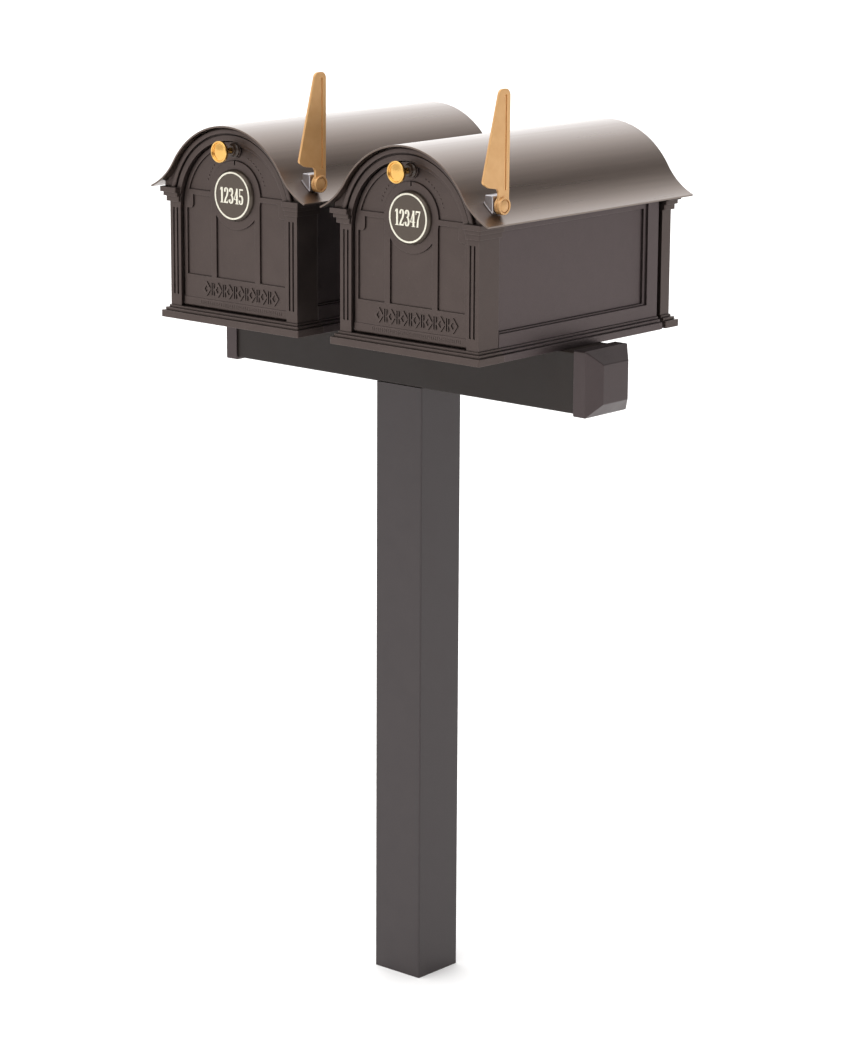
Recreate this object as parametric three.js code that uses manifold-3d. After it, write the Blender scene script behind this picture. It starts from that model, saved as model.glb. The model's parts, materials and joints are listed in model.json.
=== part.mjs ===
// Twin mailbox on a post: two arched cast mailboxes side by side on a square cross-arm.
// Millimetres. X runs along the cross-arm, -Y is the side with the doors, +Z is up.
// The origin is the centre of the post's foot.
import * as THREE from "three";
import { mergeVertices } from "three/addons/utils/BufferGeometryUtils.js";
import Module from "manifold-3d";

const wasm = await Module();
wasm.setup();

// ---------------------------------------------------------------- driving dimensions

const GAP = 0.3; // left between pieces that touch

// post and cross-arm, both cut from one square extrusion
const TUBE = 101.6;
const TUBE_WALL = 3.2;
const TUBE_CORNER = 3;
const ARM_BOTTOM = 1045;
const ARM_HALF = 395;
const CAP_PROUD = 3.8;
const CAP_INNER_END = 375.5;
const CAP_SHOULDER = 399.5;
const CAP_TIP = 419.5;
const CAP_INSET = 22;

// mailboxes
const BOX_SPACING = 386.4;
const BODY_HALF = 145.8; // centre to the outside of a pilaster
const FRONT = -248.6; // face of the front pilasters
const FRONT_RETURN = -198; // rear edge of the front casting's sides
const FRONT_RIM = -226; // rear edge of its arched rim under the roof
const REAR = 245.6; // face of the rear pilasters
const REAR_GROOVE = [212, 222]; // shadow groove ahead of the rear casting
const PLATE = 12.6; // depth of the front casting's face
const CASTING_WALL = 8;
const WALL_TOP = 236; // where the side walls meet the underside of the eaves
const BOX_BASE = ARM_BOTTOM + TUBE;

// roof: a round crown that turns outwards into flared eaves
const SPRING = 187; // height of the arch centre above the box's base
const CROWN_R = 147;
const CROWN_TURN = 57.5; // degrees from the vertical where the crown ends
const FLARE_R = 114;
const EAVE_SLOPE = 22.5;
const SHEET = 3;
const ROOF_Y = [-263.8, 265];

// base and capital mouldings: how far each tier stands out, then its heights
const BASE_TIERS = [[12, GAP, 12], [7.2, 12, 17], [2.7, 17, 21]];
const CAPITAL_TIERS = [[4.8, 197, 206], [8.5, 206, 213], [12.4, 213, 221.5]];

// door
const OPENING_R = 121.5;
const OPENING_BOTTOM = 21;
const DOOR_CLEARANCE = 2;
const DOOR_FACE = -242.5;
const DOOR_BACK = -235;
const DOOR_SUNK = 3;
const RAIL_PROUD = 1.2;
const HINGE = { y: -239.8, z: 25.7, barrel: 3.9, rod: 2, bore: 2.3 };
const PANEL = { bottom: 76.5, top: 211, inner: 56, outer: 112, middle: 44 };
const TYMPANUM = { bottom: 220, r: 112 };
const PLAQUE = { z: 218, boss: 57.5, r: 43.4, face: 39.8, thick: 7.4 };
const KNOB = { z: 293, pad: 13.5, r: 17.8, rose: 9.2, reach: 28.3, screw: 2, bore: 2.3 };

// flag and its bracket, on the right-hand slope of each roof
const FLAG = { y: -211, z: 248.5, tall: 181, hub: 14, plane: 158.5, thick: 4.5, bolt: 3, bore: 3.3 };
const BRACKET = { face: 153.3, back: 136.2, top: 265, half: 15 };

// ---------------------------------------------------------------- solids

const rad = THREE.MathUtils.degToRad;

function toSolid(geometry) {
  const bare = new THREE.BufferGeometry();
  bare.setAttribute("position", geometry.getAttribute("position"));
  if (geometry.index) bare.setIndex(geometry.index);
  const merged = mergeVertices(bare, 1e-4);
  const corners = merged.index.array;
  const triVerts = [];
  for (let i = 0; i < corners.length; i += 3) {
    const [a, b, c] = corners.slice(i, i + 3);
    if (a !== b && b !== c && c !== a) triVerts.push(a, b, c);
  }
  return new wasm.Manifold(new wasm.Mesh({
    numProp: 3,
    vertProperties: new Float32Array(merged.attributes.position.array),
    triVerts: new Uint32Array(triVerts),
  }));
}

function toGeometry(solid) {
  const mesh = solid.getMesh();
  const geometry = new THREE.BufferGeometry();
  geometry.setAttribute("position", new THREE.BufferAttribute(mesh.vertProperties, 3));
  geometry.setIndex(new THREE.BufferAttribute(mesh.triVerts, 1));
  geometry.computeVertexNormals();
  return geometry;
}

const join = (...solids) => solids.reduce((all, one) => all.add(one));
const cut = (solid, ...tools) => tools.reduce((rest, tool) => rest.subtract(tool), solid);

function box(x, y, z) {
  const geometry = new THREE.BoxGeometry(x[1] - x[0], y[1] - y[0], z[1] - z[0]);
  geometry.translate((x[0] + x[1]) / 2, (y[0] + y[1]) / 2, (z[0] + z[1]) / 2);
  return toSolid(geometry);
}

// A block whose bottom and top rectangles differ: each is {x: [a, b], y: [c, d]}.
function taper(bottom, top, z) {
  const geometry = new THREE.BoxGeometry(2, 2, 2);
  const place = geometry.getAttribute("position");
  for (let i = 0; i < place.count; i += 1) {
    const end = place.getZ(i) < 0 ? bottom : top;
    const x = end.x[place.getX(i) < 0 ? 0 : 1];
    const y = end.y[place.getY(i) < 0 ? 0 : 1];
    place.setXYZ(i, x, y, z[place.getZ(i) < 0 ? 0 : 1]);
  }
  return toSolid(geometry);
}

function arc(cx, cy, radius, from, to, steps) {
  return Array.from({ length: steps + 1 }, (_, i) => {
    const angle = rad(from + ((to - from) * i) / steps);
    return new THREE.Vector2(cx + radius * Math.cos(angle), cy + radius * Math.sin(angle));
  });
}

const point = (x, y) => new THREE.Vector2(x, y);

// A closed outline from points and arcs, without repeated neighbours.
function outline(...pieces) {
  const points = pieces.flat().filter((p, i, all) => {
    const before = all[(i + all.length - 1) % all.length];
    return p.distanceTo(before) > 1e-3;
  });
  return new THREE.Shape(points);
}

function extruded(shape, depth) {
  return new THREE.ExtrudeGeometry(shape, { depth, bevelEnabled: false, curveSegments: 12 });
}

// Outlines drawn in XY, XZ and YZ, extruded along the third axis.
function alongZ(shape, z) {
  return toSolid(extruded(shape, z[1] - z[0]).translate(0, 0, z[0]));
}

function alongY(shape, y) {
  return toSolid(extruded(shape, y[1] - y[0]).rotateX(Math.PI / 2).translate(0, y[1], 0));
}

function alongX(shape, x) {
  const turn = new THREE.Matrix4().makeBasis(
    new THREE.Vector3(0, 1, 0), new THREE.Vector3(0, 0, 1), new THREE.Vector3(1, 0, 0));
  return toSolid(extruded(shape, x[1] - x[0]).applyMatrix4(turn).translate(x[0], 0, 0));
}

const disc = (cx, cy, radius, steps = 24) => outline(arc(cx, cy, radius, 0, 360, steps).slice(1));

// A turned piece about +Z: the profile lists [radius, height] from axis to axis.
function turned(profile, sides = 24) {
  const points = profile.map(([r, h]) => point(r, h));
  return toSolid(new THREE.LatheGeometry(points, sides).rotateX(Math.PI / 2));
}

// The same piece with its axis along -Y or +X, standing at a place.
const turnedForward = (profile, at, sides) => turned(profile, sides).rotate([90, 0, 0]).translate(at);
const turnedRight = (profile, at, sides) => turned(profile, sides).rotate([0, 90, 0]).translate(at);

const mirrored = (solid) => solid.mirror([1, 0, 0]);

// ---------------------------------------------------------------- roof line

const FLARE_X = (CROWN_R + FLARE_R) * Math.sin(rad(CROWN_TURN));
const FLARE_Z = SPRING + (CROWN_R + FLARE_R) * Math.cos(rad(CROWN_TURN));

// The roof line from the left eave to the right one, moved inwards by a distance.
function roofLine(inwards) {
  const flare = FLARE_R + inwards;
  return [
    ...arc(-FLARE_X, FLARE_Z, flare, 270 + EAVE_SLOPE, 270 + CROWN_TURN, 6),
    ...arc(0, SPRING, CROWN_R - inwards, 90 + CROWN_TURN, 90 - CROWN_TURN, 24),
    ...arc(FLARE_X, FLARE_Z, flare, 270 - CROWN_TURN, 270 - EAVE_SLOPE, 6),
  ];
}

// Everything below the roof line, as a long prism.
function underRoof(inwards) {
  const line = roofLine(inwards);
  const right = line[line.length - 1].x;
  return alongY(outline(line, point(right, -60), point(-right, -60)), [-300, 300]);
}

// ---------------------------------------------------------------- post and cross-arm

function squareOutline(half, corner) {
  const inner = half - corner;
  return outline(
    arc(inner, inner, corner, 0, 90, 3), arc(-inner, inner, corner, 90, 180, 3),
    arc(-inner, -inner, corner, 180, 270, 3), arc(inner, -inner, corner, 270, 360, 3));
}

function squareTube(half, wall) {
  const shape = squareOutline(half, TUBE_CORNER);
  const inside = half - wall;
  shape.holes.push(outline(
    [point(-inside, -inside), point(inside, -inside), point(inside, inside), point(-inside, inside)]));
  return shape;
}

const TUBE_HALF = TUBE / 2;
const TUBE_INSIDE = TUBE_HALF - TUBE_WALL;
const ARM_MIDDLE = ARM_BOTTOM + TUBE_HALF;
const INSERT_HALF = TUBE_INSIDE - 0.4;
const SLEEVE = { bottom: 945, top: ARM_BOTTOM - GAP, wall: 4, roof: 6 };
const SLEEVE_BOLT_X = 25;
const POST_SCREW_Z = [970, 1005];
const BOLT = { shaft: 4, hole: 4.6, head: 7.5, thick: 5 };
const SADDLE_BOLT_Y = 28;

const square = (half) => [-half, half];

function verticalBolt(x, y, headBottom, nutTop, end) {
  const head = [[0, headBottom], [BOLT.head, headBottom], [BOLT.head, headBottom + BOLT.thick],
    [0, headBottom + BOLT.thick]];
  const nut = [[0, nutTop - BOLT.thick], [BOLT.head, nutTop - BOLT.thick], [BOLT.head, nutTop], [0, nutTop]];
  const shaft = [[0, end], [BOLT.shaft, end], [BOLT.shaft, headBottom + 1], [0, headBottom + 1]];
  return join(turned(head, 6), turned(nut, 6), turned(shaft, 12)).translate([x, y, 0]);
}

function verticalHole(x, y, z) {
  return alongZ(disc(x, y, BOLT.hole, 16), z);
}

function rearScrewHole(z, y) {
  return alongY(disc(0, z, 3.5, 12), y);
}

function post() {
  const tube = alongZ(squareTube(TUBE_HALF, TUBE_WALL), [0, ARM_BOTTOM - GAP]);
  return cut(tube, ...POST_SCREW_Z.map((z) => rearScrewHole(z, [TUBE_INSIDE - 5, TUBE_HALF + 5])));
}

function postFootPlug() {
  const inside = square(INSERT_HALF - 4);
  const block = box(square(INSERT_HALF), square(INSERT_HALF), [0, 22]);
  return cut(block, box(inside, inside, [5, 30]));
}

function postSleeve() {
  const inside = square(INSERT_HALF - SLEEVE.wall);
  const block = box(square(INSERT_HALF), square(INSERT_HALF), [SLEEVE.bottom, SLEEVE.top - GAP]);
  const hollow = box(inside, inside, [SLEEVE.bottom - 5, SLEEVE.top - SLEEVE.roof]);
  const bolts = [-1, 1].map((side) => verticalHole(side * SLEEVE_BOLT_X, 0, [SLEEVE.bottom, SLEEVE.top + 5]));
  const screws = POST_SCREW_Z.map((z) => rearScrewHole(z, [INSERT_HALF - 8, INSERT_HALF + 5]));
  return cut(block, hollow, ...bolts, ...screws);
}

function sleeveBolt(side) {
  const nutBottom = ARM_BOTTOM + TUBE_WALL + GAP;
  const headTop = SLEEVE.top - SLEEVE.roof - GAP;
  return verticalBolt(side * SLEEVE_BOLT_X, 0, nutBottom, headTop, headTop - 2);
}

function postScrew(z) {
  const head = [[0, 0], [5.5, 0], [6, 0.8], [6, 2.2], [4.2, 3.4], [0, 3.6]];
  const shaft = [[0, -9], [3, -9], [3, 1], [0, 1]];
  return join(turned(head, 16), turned(shaft, 12)).rotate([-90, 0, 0]).translate([0, TUBE_HALF + GAP, z]);
}

function crossarm() {
  const tube = alongX(squareTube(TUBE_HALF, TUBE_WALL), [-ARM_HALF, ARM_HALF]).translate([0, 0, ARM_MIDDLE]);
  const top = [ARM_BOTTOM + TUBE - 10, ARM_BOTTOM + TUBE + 10];
  const tools = [-1, 1].flatMap((side) => [
    verticalHole((side * BOX_SPACING) / 2, -SADDLE_BOLT_Y, top),
    verticalHole((side * BOX_SPACING) / 2, SADDLE_BOLT_Y, top),
    verticalHole(side * SLEEVE_BOLT_X, 0, [ARM_BOTTOM - 10, ARM_BOTTOM + 10]),
  ]);
  return cut(tube, ...tools);
}

function endCap() {
  const outer = TUBE_HALF + CAP_PROUD;
  const shoulder = alongX(squareOutline(outer, TUBE_CORNER), [CAP_INNER_END, CAP_SHOULDER]);
  const face = outer - CAP_INSET;
  const nose = taper({ x: square(outer - 0.4), y: square(outer - 0.4) }, { x: square(face), y: square(face) },
    [CAP_SHOULDER - 0.4, CAP_TIP]).rotate([0, 90, 0]);
  const socket = alongX(squareOutline(TUBE_HALF + 0.4, TUBE_CORNER), [CAP_INNER_END - 5, ARM_HALF + 0.4]);
  const hollow = box([ARM_HALF - 5, CAP_TIP - 4], square(face - 4), square(face - 4));
  return cut(join(shoulder, nose), socket, hollow).translate([0, 0, ARM_MIDDLE]);
}

// ---------------------------------------------------------------- castings of a mailbox

// Stepped mouldings that stand out on the two sides and on the face.
function tiers(list, face, inner, outwards) {
  return list.map(([out, low, high]) => {
    const y = outwards < 0 ? [face - out, inner] : [inner, face + out];
    return box(square(BODY_HALF + out), y, [low, high]);
  });
}

function archOutline(radius, bottom, steps = 28) {
  return outline(
    [point(-radius, bottom), point(radius, bottom)], arc(0, SPRING, radius, 0, 180, steps));
}

// One step of the arch moulding: a flat ring that springs from the capitals.
function archRing(inner, outer, y) {
  return alongY(outline(arc(0, SPRING, outer, 12, 168, 26), arc(0, SPRING, inner, 168, 12, 26)), y);
}

function flute(x) {
  const depth = 2.2;
  const [low, high] = [40, 187];
  const slot = outline([
    point(FRONT - 1, low - 1), point(FRONT, low), point(FRONT + depth, low + depth),
    point(FRONT + depth, high), point(FRONT - 1, high)]);
  return alongX(slot, [x - 1.9, x + 1.9]);
}

const FLUTES = [128.8, 137.2];

function frontFrame() {
  const face = FRONT + PLATE;
  const body = join(
    box(square(BODY_HALF), [FRONT, FRONT_RETURN], [GAP, 340]),
    box(square(157), [FRONT, face], [214, 340]),
    ...tiers(BASE_TIERS, FRONT, FRONT_RETURN, -1),
    ...tiers(CAPITAL_TIERS, FRONT, FRONT_RETURN, -1),
    archRing(OPENING_R - 1, 131.5, [FRONT - 2.5, face]),
    archRing(133.5, 142.3, [FRONT - 6, face])).intersect(underRoof(SHEET + GAP));
  const hollow = box(square(BODY_HALF - CASTING_WALL), [face, FRONT_RETURN + 9], [12, 340])
    .intersect(underRoof(SHEET + CASTING_WALL));
  const skirt = box(square(BODY_HALF), [FRONT - 2, FRONT_RETURN + 9], [-5, 12]);
  const behindRim = box(square(BODY_HALF + 20), [FRONT_RIM, FRONT_RETURN + 9], [WALL_TOP, 340]);
  const opening = alongY(archOutline(OPENING_R, OPENING_BOTTOM), [-300, face + 1]);
  const shell = cut(body, hollow, skirt, behindRim, opening, ...FLUTES.flatMap((x) => [flute(x), flute(-x)]));
  return cut(shell, alongX(disc(HINGE.y, HINGE.z, HINGE.bore, 12), square(OPENING_R + 7)));
}

function rearFrame() {
  const [, inner] = REAR_GROOVE;
  const body = join(
    box(square(BODY_HALF), [inner, REAR], [GAP, 340]),
    box(square(157), [REAR - PLATE, REAR], [214, 340]),
    ...tiers(BASE_TIERS, REAR, inner, 1),
    ...tiers(CAPITAL_TIERS, REAR, inner, 1)).intersect(underRoof(SHEET + GAP));
  const tongue = box(square(131), [REAR_GROOVE[0] + GAP, inner + 1], [12, 340]).intersect(underRoof(15));
  const opening = alongY(archOutline(112, 34), [-10, 300]);
  const relief = box(square(BODY_HALF - CASTING_WALL), [inner - 30, REAR - PLATE], [-5, 12]);
  return cut(join(body, tongue), opening, relief);
}

function rearPanel() {
  const sheet = alongY(archOutline(126, 16), [REAR_GROOVE[0] - 5, REAR_GROOVE[0] - 1]);
  const field = alongY(archOutline(106, 40), [REAR_GROOVE[0] - 3, REAR - PLATE]);
  return join(sheet, field);
}

// The right-hand side; the left-hand one is its mirror image.
function sidePanel() {
  const y = [FRONT_RETURN + GAP, REAR_GROOVE[0]];
  const inner = BODY_HALF - 13.8;
  const body = join(
    box([inner, BODY_HALF], y, [GAP, 340]),
    ...BASE_TIERS.map(([out, low, high]) => box([inner, BODY_HALF + out], y, [low, high])))
    .intersect(underRoof(SHEET + GAP));
  const edge = { y: [y[0] - 5, 184], z: [43, 212] };
  const step = { y: [y[0] - 5, 176], z: [46, 204] };
  const fieldFace = BODY_HALF - 6.8;
  const ledge = BODY_HALF - 3.4;
  const recess = [
    box([ledge, BODY_HALF + 5], edge.y, edge.z),
    box([fieldFace, BODY_HALF + 5], step.y, step.z),
  ];
  const behind = box([inner - 5, fieldFace - 4], [y[0] + 8, 176], [46, 204]);
  const channel = box([inner + 5, BODY_HALF + 5], [y[0] - 5, y[1] + 5], [-5, 9]);
  return cut(body, ...recess, behind, channel);
}

function roof() {
  return alongY(outline(roofLine(0), roofLine(SHEET).reverse()), ROOF_Y);
}

function floorPlate() {
  const y = [-226, REAR_GROOVE[0] - 6];
  const ribs = [-80, -40, 0, 40, 80].map((x) => box([x - 2.5, x + 2.5], [y[0] + 12, y[1] - 12], [13, 16]));
  return join(box(square(131), y, [11, 14]), ...ribs);
}

function mountingPlate() {
  const plate = box(square(131), square(180), [GAP, 5]);
  return cut(plate, verticalHole(0, -SADDLE_BOLT_Y, [-5, 10]), verticalHole(0, SADDLE_BOLT_Y, [-5, 10]));
}

function mountBolt(y) {
  const nutTop = -TUBE_WALL - GAP;
  return verticalBolt(0, y, 5 + GAP, nutTop, nutTop - 9);
}

// ---------------------------------------------------------------- door

const DOOR_HALF = OPENING_R - DOOR_CLEARANCE;
const SUNK = [DOOR_FACE - 10, DOOR_FACE + DOOR_SUNK];

// The tall outer panel has an ear cut out of its upper outer corner.
function outerPanel() {
  const ear = { x: 98, z: 188, r: 7 };
  return alongY(outline(
    [point(PANEL.inner, PANEL.bottom), point(PANEL.outer, PANEL.bottom), point(PANEL.outer, ear.z)],
    arc(ear.x + ear.r, ear.z + ear.r, ear.r, 270, 180, 4),
    [point(ear.x, PANEL.top), point(PANEL.inner, PANEL.top)]), SUNK);
}

function tympanum() {
  const spread = (180 / Math.PI) * Math.asin((TYMPANUM.bottom - SPRING) / TYMPANUM.r);
  const field = alongY(outline(arc(0, SPRING, TYMPANUM.r, spread, 180 - spread, 24)), SUNK);
  return cut(field, alongY(disc(0, KNOB.z, KNOB.pad, 20), SUNK));
}

function door() {
  const slab = join(
    alongY(archOutline(DOOR_HALF, HINGE.z), [DOOR_FACE, DOOR_BACK]),
    box(square(DOOR_HALF), [DOOR_FACE - RAIL_PROUD, DOOR_BACK], [HINGE.z, 38]),
    alongX(disc(HINGE.y, HINGE.z, HINGE.barrel, 24), square(DOOR_HALF)));
  const middle = alongY(outline([
    point(-PANEL.middle, PANEL.bottom), point(PANEL.middle, PANEL.bottom),
    point(PANEL.middle, PLAQUE.z - 20), point(-PANEL.middle, PLAQUE.z - 20)]), SUNK);
  const sunk = cut(join(outerPanel(), mirrored(outerPanel()), middle, tympanum()),
    alongY(disc(0, PLAQUE.z, PLAQUE.boss, 40), SUNK));
  const keySlot = box([-1.3, 1.3], [DOOR_FACE - 1, DOOR_FACE + DOOR_SUNK + 1.5], [268, 276]);
  const knobHole = alongY(disc(0, KNOB.z, KNOB.bore, 12), [DOOR_FACE - 10, DOOR_BACK + 10]);
  const bore = alongX(disc(HINGE.y, HINGE.z, HINGE.bore, 12), square(DOOR_HALF + 5));
  return cut(slab, sunk, keySlot, knobHole, bore);
}

function hingeRod() {
  return alongX(disc(HINGE.y, HINGE.z, HINGE.rod, 12), square(OPENING_R + 6));
}

function numberPlaque() {
  const { r, face, thick } = PLAQUE;
  return turnedForward([[0, 0], [r, 0], [r, 1.5], [face + 0.5, thick - 0.5], [face, thick], [face - 3, thick],
    [face - 3.9, thick - 0.9], [0, thick - 0.9]], [0, DOOR_FACE - GAP, PLAQUE.z], 32);
}

function knobRose() {
  return turnedForward([[KNOB.bore, 0], [12, 0], [12, 2.5], [9.4, 4.5], [8.4, KNOB.rose], [KNOB.bore, KNOB.rose],
    [KNOB.bore, 0]], [0, DOOR_FACE - GAP, KNOB.z], 18);
}

function knob() {
  const { r, reach, bore } = KNOB;
  return turnedForward([[0, 14], [bore, 14], [bore, 0], [4.6, 0], [5.2, 1.5], [4, 4], [4.4, reach - 12],
    [7.5, reach - 8.6], [13, reach - 6.6], [r - 0.8, reach - 6], [r, reach - 4.7], [r, reach - 2.1],
    [r - 1.2, reach - 0.5], [r - 2.2, reach], [r - 3.4, reach - 0.6], [r - 4, reach - 1.8], [9, reach - 1.1],
    [0, reach - 0.8]],
  [0, DOOR_FACE - GAP - KNOB.rose - GAP, KNOB.z], 18);
}

function knobScrew() {
  const length = KNOB.rose + 13 + (DOOR_BACK - DOOR_FACE);
  return turnedForward([[0, -4], [3.6, -4], [5, -2.6], [5, 0], [KNOB.screw, 0], [KNOB.screw, length],
    [0, length]], [0, DOOR_BACK + GAP, KNOB.z], 16);
}

const CATCH = { half: 14, z: [299.5, 322], y: [-233, -221] };

function doorCatch() {
  const housing = box(square(CATCH.half), CATCH.y, CATCH.z);
  const slot = box(square(CATCH.half - 3), [CATCH.y[0] - 5, CATCH.y[0] + 6], [CATCH.z[0] - 1, CATCH.z[0] + 4]);
  return cut(housing, slot);
}

function doorStrike() {
  return box(square(CATCH.half - 3), [DOOR_BACK + GAP, DOOR_BACK + 1.5], [CATCH.z[0] - 0.5, CATCH.z[0] + 6]);
}

// ---------------------------------------------------------------- flag

// A die-cast saddle that fits the flare of the roof and gives the flag an upright face.
function flagBracket() {
  const lift = 0.4;
  const { face, back, top, half } = BRACKET;
  const foot = arc(FLARE_X, FLARE_Z, FLARE_R - lift, 221, 233.5, 8);
  const flange = outline(foot, arc(FLARE_X, FLARE_Z, FLARE_R - lift - 2.2, 233.5, 221, 8));
  const block = outline(
    arc(FLARE_X, FLARE_Z, FLARE_R - lift - 1, 222, 233.5, 6),
    arc(face - 4, top - 4, 4, 0, 90, 4), arc(back + 3, top - 3, 3, 90, 180, 3));
  const body = join(
    alongY(flange, [FLAG.y - half, FLAG.y + half]),
    alongY(block, [FLAG.y - half + 0.6, FLAG.y + half - 0.6]));
  const bore = alongX(disc(FLAG.y, FLAG.z, FLAG.bore, 12), [BRACKET.face - 14, BRACKET.face + 10]);
  return cut(body, bore, bracketScrewHole());
}

// The screw that holds the bracket goes up through the roof, square to its slope.
const SCREW = { angle: 224, shaft: 2.4, hole: 2.8, head: 5 };

function onFlare(solid) {
  const tilt = rad(SCREW.angle);
  const place = [FLARE_X + FLARE_R * Math.cos(tilt), FLAG.y + 8, FLARE_Z + FLARE_R * Math.sin(tilt)];
  return solid.rotate([0, 270 - SCREW.angle, 0]).translate(place);
}

function bracketScrewHole() {
  return onFlare(turned([[0, -10], [SCREW.hole, -10], [SCREW.hole, 9], [0, 9]], 12));
}

function bracketScrew() {
  const seat = -SHEET - GAP;
  return onFlare(turned([[0, seat - 3], [3.4, seat - 3], [SCREW.head, seat - 1.8], [SCREW.head, seat],
    [SCREW.shaft, seat], [SCREW.shaft, 8], [0, 8]], 12));
}

function flagWasher() {
  return turnedRight([[FLAG.bore, 0], [8, 0], [8, 1.5], [FLAG.bore, 1.5], [FLAG.bore, 0]],
    [BRACKET.face + GAP, FLAG.y, FLAG.z], 20);
}

function flagOutline() {
  const { tall } = FLAG;
  return outline(
    arc(0, 0, FLAG.hub, 210, 360, 12),
    arc(4, tall - 11, 11, 0, 90, 6),
    arc(-3, tall - 10, 10, 90, 165, 5),
    arc(-44, 41, 5, 165, 240, 4),
    [point(-35, 30.5)],
    arc(-19, 20, 8, 75, 0, 4),
    [point(-11, 9)]);
}

function flag() {
  const [inner, outer] = [FLAG.plane, FLAG.plane + FLAG.thick];
  const blade = alongX(flagOutline(), [inner, outer]);
  const hubBack = alongX(disc(0, 0, FLAG.hub - 0.4), [BRACKET.face + 2.1, inner + 1]);
  const rim = alongX(disc(0, 0, FLAG.hub, 28), [outer - 1, outer + 3.4]);
  const dish = alongX(disc(0, 0, FLAG.hub - 3.2, 28), [outer, outer + 10]);
  const groove = box([outer - 1, outer + 5], [3.6, 6], [24, FLAG.tall - 9]);
  const grooveTop = box([outer - 1, outer + 5], [0, 6], [FLAG.tall - 11.4, FLAG.tall - 9]);
  const bore = alongX(disc(0, 0, FLAG.bore, 16), [inner - 20, outer + 20]);
  return cut(join(blade, hubBack, rim), dish, groove, grooveTop, bore).translate([0, FLAG.y, FLAG.z]);
}

function flagPivotBolt() {
  const seat = FLAG.plane + FLAG.thick + GAP;
  return turnedRight([[0, BRACKET.face - 12], [FLAG.bolt, BRACKET.face - 12], [FLAG.bolt, seat], [9, seat],
    [9, seat + 1.2], [7, seat + 2.8], [0, seat + 3.4]], [0, FLAG.y, FLAG.z], 20);
}

function roofWithScrewHole() {
  return cut(roof(), bracketScrewHole());
}

// ---------------------------------------------------------------- materials

const finish = (color, roughness, metalness) => ({ color, roughness, metalness });
const BRONZE_PAINT = finish(0x4a3f3c, 0.42, 0.35);
const ROOF_PAINT = finish(0x54494a, 0.33, 0.4);
const DARK_PAINT = finish(0x3a3230, 0.45, 0.3);
const PLAQUE_PAINT = finish(0x57524e, 0.4, 0.3);
const BRASS = finish(0xc8913a, 0.28, 1);
const STEEL = finish(0xa9a9ab, 0.32, 1);
const BLACK_PLASTIC = finish(0x1c1c1d, 0.6, 0);

function part(name, solid, look) {
  const mesh = new THREE.Mesh(toGeometry(solid), new THREE.MeshStandardMaterial(look));
  mesh.name = name;
  return mesh;
}

// ---------------------------------------------------------------- assembly

function stand() {
  const group = new THREE.Group();
  group.add(
    part("post", post(), BRONZE_PAINT),
    part("post_foot_plug", postFootPlug(), BLACK_PLASTIC),
    part("post_sleeve", postSleeve(), STEEL),
    part("sleeve_bolt_left", sleeveBolt(-1), STEEL),
    part("sleeve_bolt_right", sleeveBolt(1), STEEL),
    part("post_screw_lower", postScrew(POST_SCREW_Z[0]), DARK_PAINT),
    part("post_screw_upper", postScrew(POST_SCREW_Z[1]), DARK_PAINT),
    part("crossarm_beam", crossarm(), BRONZE_PAINT),
    part("end_cap_right", endCap(), BRONZE_PAINT),
    part("end_cap_left", mirrored(endCap()), BRONZE_PAINT));
  return group;
}

function mailbox(side) {
  const group = new THREE.Group();
  const pieces = {
    roof: [roofWithScrewHole(), ROOF_PAINT],
    front_frame: [frontFrame(), BRONZE_PAINT],
    rear_frame: [rearFrame(), BRONZE_PAINT],
    rear_panel: [rearPanel(), BRONZE_PAINT],
    side_panel_left: [mirrored(sidePanel()), BRONZE_PAINT],
    side_panel_right: [sidePanel(), BRONZE_PAINT],
    floor_plate: [floorPlate(), DARK_PAINT],
    mounting_plate: [mountingPlate(), STEEL],
    mount_bolt_front: [mountBolt(-SADDLE_BOLT_Y), STEEL],
    mount_bolt_rear: [mountBolt(SADDLE_BOLT_Y), STEEL],
    door: [door(), BRONZE_PAINT],
    door_hinge_rod: [hingeRod(), STEEL],
    door_catch: [doorCatch(), BLACK_PLASTIC],
    door_strike: [doorStrike(), STEEL],
    knob: [knob(), BRASS],
    knob_rose: [knobRose(), DARK_PAINT],
    knob_screw: [knobScrew(), STEEL],
    number_plaque: [numberPlaque(), PLAQUE_PAINT],
    flag: [flag(), BRASS],
    flag_bracket: [flagBracket(), STEEL],
    flag_bracket_screw: [bracketScrew(), STEEL],
    flag_pivot_bolt: [flagPivotBolt(), BRASS],
    flag_washer: [flagWasher(), STEEL],
  };
  for (const [name, [solid, look]] of Object.entries(pieces)) {
    group.add(part(`${side}_${name}`, solid, look));
  }
  group.position.z = BOX_BASE;
  return group;
}

const mailboxPost = new THREE.Group();
const leftBox = mailbox("left");
const rightBox = mailbox("right");
leftBox.position.x = -BOX_SPACING / 2;
rightBox.position.x = BOX_SPACING / 2;
mailboxPost.add(stand(), leftBox, rightBox);

export default mailboxPost;
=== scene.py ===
import json
import math

import bmesh
import bpy
from mathutils import Matrix, Vector
from mathutils.geometry import tessellate_polygon


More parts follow.
